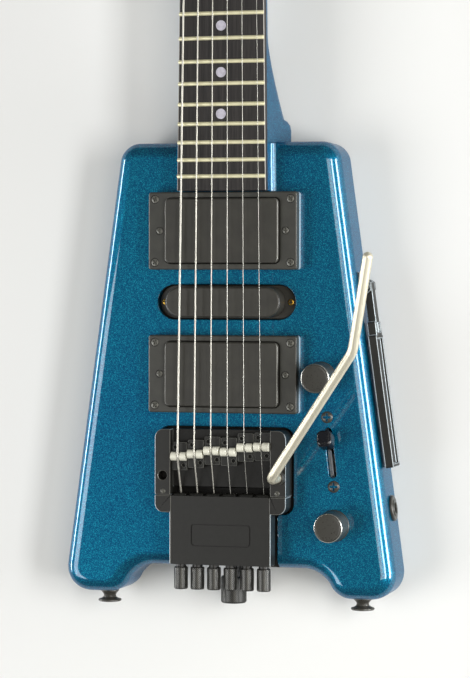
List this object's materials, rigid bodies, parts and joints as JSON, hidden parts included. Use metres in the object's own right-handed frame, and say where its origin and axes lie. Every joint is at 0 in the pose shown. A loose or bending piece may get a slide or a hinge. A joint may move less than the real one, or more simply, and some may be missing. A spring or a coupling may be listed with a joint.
{
  "type": "headless electric guitar",
  "caption": "Headless electric guitar with a tapered twin-horn body, sprung tremolo carriage, thumbscrew tuners at the tail, pickups, knobs, selector, jack and folding leg rest.",
  "frame": {"origin": "on the centre line below the saddles, on the back face of the body", "axes": "+X to the treble side, +Y up the neck, +Z out of the front of the body"},
  "size_m": [0.2018, 0.7676, 0.1021],
  "materials": {
    "lacquer": "blue metallic lacquer over maple",
    "fingerboard_wood": "dark oiled hardwood, pale frets",
    "nut_graphite": "filled plastic",
    "black_metal": "black plated steel",
    "black_casting": "black coated zinc casting",
    "black_plastic": "black moulded plastic",
    "pickup_plastic": "black satin plastic",
    "plated_steel": "plated steel",
    "satin_nickel": "satin nickel plated steel",
    "string_steel": "plain and wound steel"
  },
  "bodies": {
    "guitar": {"neck_core": "lacquer", "bass_wing": "lacquer", "treble_wing": "lacquer", "fingerboard": "fingerboard_wood", "nut": "nut_graphite", "headpiece": "black_metal", "truss_rod": "plated_steel", "neck_pickup_ring": "black_plastic", "neck_pickup": "pickup_plastic", "middle_pickup": "pickup_plastic", "bridge_pickup_ring": "black_plastic", "bridge_pickup": "pickup_plastic", "volume_pot": "plated_steel", "tone_pot": "plated_steel", "selector_switch": "plated_steel", "control_cover": "black_plastic", "jack_socket": "plated_steel", "strap_button_bass": "black_metal", "strap_button_treble": "black_metal", "leg_rest_bracket": "black_metal", "leg_rest_pin": "plated_steel", "tremolo_base": "plated_steel", "pivot_shaft": "plated_steel", "tremolo_spring": "plated_steel", "string_1": "string_steel", "string_2": "string_steel", "string_3": "string_steel", "string_4": "string_steel", "string_5": "string_steel", "string_6": "string_steel"},
    "carriage": {"bridge_frame": "black_casting", "tail_block": "black_casting", "tail_cover": "black_casting", "spring_lever": "plated_steel", "arm_collar": "black_plastic"},
    "arm": {"tremolo_arm": "satin_nickel"},
    "spring_knob": {"spring_knob": "black_casting"},
    "spring_seat": {"spring_seat": "plated_steel"},
    "volume_knob": {"volume_knob": "black_metal"},
    "tone_knob": {"tone_knob": "black_metal"},
    "selector_lever": {"selector_lever": "black_plastic"},
    "leg_rest_bar": {"leg_rest_bar": "black_metal"},
    "saddle_1": {"saddle_1": "black_casting"},
    "jaw_1": {"jaw_1": "plated_steel"},
    "tuner_1": {"tuner_1": "black_casting"},
    "saddle_2": {"saddle_2": "black_casting"},
    "jaw_2": {"jaw_2": "plated_steel"},
    "tuner_2": {"tuner_2": "black_casting"},
    "saddle_3": {"saddle_3": "black_casting"},
    "jaw_3": {"jaw_3": "plated_steel"},
    "tuner_3": {"tuner_3": "black_casting"},
    "saddle_4": {"saddle_4": "black_casting"},
    "jaw_4": {"jaw_4": "plated_steel"},
    "tuner_4": {"tuner_4": "black_casting"},
    "saddle_5": {"saddle_5": "black_casting"},
    "jaw_5": {"jaw_5": "plated_steel"},
    "tuner_5": {"tuner_5": "black_casting"},
    "saddle_6": {"saddle_6": "black_casting"},
    "jaw_6": {"jaw_6": "plated_steel"},
    "tuner_6": {"tuner_6": "black_casting"}
  },
  "joints": [
    {"name": "tremolo_pivot", "type": "hinge", "parent": "guitar", "child": "carriage", "pos_m": [0, 0.0055, 0.043], "axis": [1, 0, 0], "range_deg": [-9, 4], "stiffness_Nm_per_rad": 15, "deforming": ["string_1", "string_2", "string_3", "string_4", "string_5", "string_6", "tremolo_spring"]},
    {"name": "arm_swing", "type": "hinge", "parent": "carriage", "child": "arm", "pos_m": [0.0351, -0.014, 0.054], "axis": [0, 0, 1], "range_deg": [-100, 60]},
    {"name": "tuner_1_turn", "type": "hinge", "parent": "carriage", "child": "tuner_1", "pos_m": [0.02525, -0.0662, 0.0482], "axis": [0, 1, 0], "range_deg": [-1545, 2575]},
    {"name": "jaw_1_slide", "type": "slide", "parent": "carriage", "child": "jaw_1", "axis": [0, 1, 0], "range_m": [-0.005, 0.003], "deforming": ["string_1"]},
    {"name": "saddle_1_slide", "type": "slide", "parent": "carriage", "child": "saddle_1", "axis": [0, 1, 0], "range_m": [-0.003, 0.001], "deforming": ["string_1"]},
    {"name": "tuner_2_turn", "type": "hinge", "parent": "carriage", "child": "tuner_2", "pos_m": [0.01515, -0.0662, 0.0482], "axis": [0, 1, 0], "range_deg": [-1545, 2575]},
    {"name": "jaw_2_slide", "type": "slide", "parent": "carriage", "child": "jaw_2", "axis": [0, 1, 0], "range_m": [-0.005, 0.003], "deforming": ["string_2"]},
    {"name": "saddle_2_slide", "type": "slide", "parent": "carriage", "child": "saddle_2", "axis": [0, 1, 0], "range_m": [-0.003, 0.001], "deforming": ["string_2"]},
    {"name": "tuner_3_turn", "type": "hinge", "parent": "carriage", "child": "tuner_3", "pos_m": [0.00505, -0.0662, 0.0482], "axis": [0, 1, 0], "range_deg": [-1545, 2575]},
    {"name": "jaw_3_slide", "type": "slide", "parent": "carriage", "child": "jaw_3", "axis": [0, 1, 0], "range_m": [-0.005, 0.003], "deforming": ["string_3"]},
    {"name": "saddle_3_slide", "type": "slide", "parent": "carriage", "child": "saddle_3", "axis": [0, 1, 0], "range_m": [-0.003, 0.001], "deforming": ["string_3"]},
    {"name": "tuner_4_turn", "type": "hinge", "parent": "carriage", "child": "tuner_4", "pos_m": [-0.00505, -0.0662, 0.0482], "axis": [0, 1, 0], "range_deg": [-1545, 2575]},
    {"name": "jaw_4_slide", "type": "slide", "parent": "carriage", "child": "jaw_4", "axis": [0, 1, 0], "range_m": [-0.005, 0.003], "deforming": ["string_4"]},
    {"name": "saddle_4_slide", "type": "slide", "parent": "carriage", "child": "saddle_4", "axis": [0, 1, 0], "range_m": [-0.003, 0.001], "deforming": ["string_4"]},
    {"name": "tuner_5_turn", "type": "hinge", "parent": "carriage", "child": "tuner_5", "pos_m": [-0.01515, -0.0662, 0.0482], "axis": [0, 1, 0], "range_deg": [-1545, 2575]},
    {"name": "jaw_5_slide", "type": "slide", "parent": "carriage", "child": "jaw_5", "axis": [0, 1, 0], "range_m": [-0.005, 0.003], "deforming": ["string_5"]},
    {"name": "saddle_5_slide", "type": "slide", "parent": "carriage", "child": "saddle_5", "axis": [0, 1, 0], "range_m": [-0.003, 0.001], "deforming": ["string_5"]},
    {"name": "tuner_6_turn", "type": "hinge", "parent": "carriage", "child": "tuner_6", "pos_m": [-0.02525, -0.0662, 0.0482], "axis": [0, 1, 0], "range_deg": [-1545, 2575]},
    {"name": "jaw_6_slide", "type": "slide", "parent": "carriage", "child": "jaw_6", "axis": [0, 1, 0], "range_m": [-0.005, 0.003], "deforming": ["string_6"]},
    {"name": "saddle_6_slide", "type": "slide", "parent": "carriage", "child": "saddle_6", "axis": [0, 1, 0], "range_m": [-0.003, 0.001], "deforming": ["string_6"]},
    {"name": "spring_knob_turn", "type": "hinge", "parent": "guitar", "child": "spring_knob", "pos_m": [0, -0.0687, 0.022], "axis": [0, 1, 0], "range_deg": [-1801, 1801]},
    {"name": "spring_seat_slide", "type": "slide", "parent": "guitar", "child": "spring_seat", "axis": [0, 1, 0], "range_m": [-0.005, 0.005], "deforming": ["tremolo_spring"]},
    {"name": "volume_turn", "type": "hinge", "parent": "guitar", "child": "volume_knob", "pos_m": [0.05752, 0.0442, 0.0405], "axis": [0, 0, 1], "range_deg": [0, 300]},
    {"name": "tone_turn", "type": "hinge", "parent": "guitar", "child": "tone_knob", "pos_m": [0.06551, -0.0424, 0.0405], "axis": [0, 0, 1], "range_deg": [0, 300]},
    {"name": "selector_throw", "type": "hinge", "parent": "guitar", "child": "selector_lever", "pos_m": [0.06316, 0.0002, 0.026], "axis": [0.9934, 0.1149, 0], "range_deg": [0, 40]},
    {"name": "leg_rest_fold", "type": "hinge", "parent": "guitar", "child": "leg_rest_bar", "pos_m": [0.08263, 0.09763, 0.0245], "axis": [0, 0, 1], "range_deg": [0, 95]}
  ],
  "couplings": [
    {"joint": "tuner_1_turn", "follows": "jaw_1_slide", "rad_per_m": -8976},
    {"joint": "tuner_2_turn", "follows": "jaw_2_slide", "rad_per_m": -8976},
    {"joint": "tuner_3_turn", "follows": "jaw_3_slide", "rad_per_m": -8976},
    {"joint": "tuner_4_turn", "follows": "jaw_4_slide", "rad_per_m": -8976},
    {"joint": "tuner_5_turn", "follows": "jaw_5_slide", "rad_per_m": -8976},
    {"joint": "tuner_6_turn", "follows": "jaw_6_slide", "rad_per_m": -8976},
    {"joint": "spring_knob_turn", "follows": "spring_seat_slide", "rad_per_m": -6283.2}
  ]
}
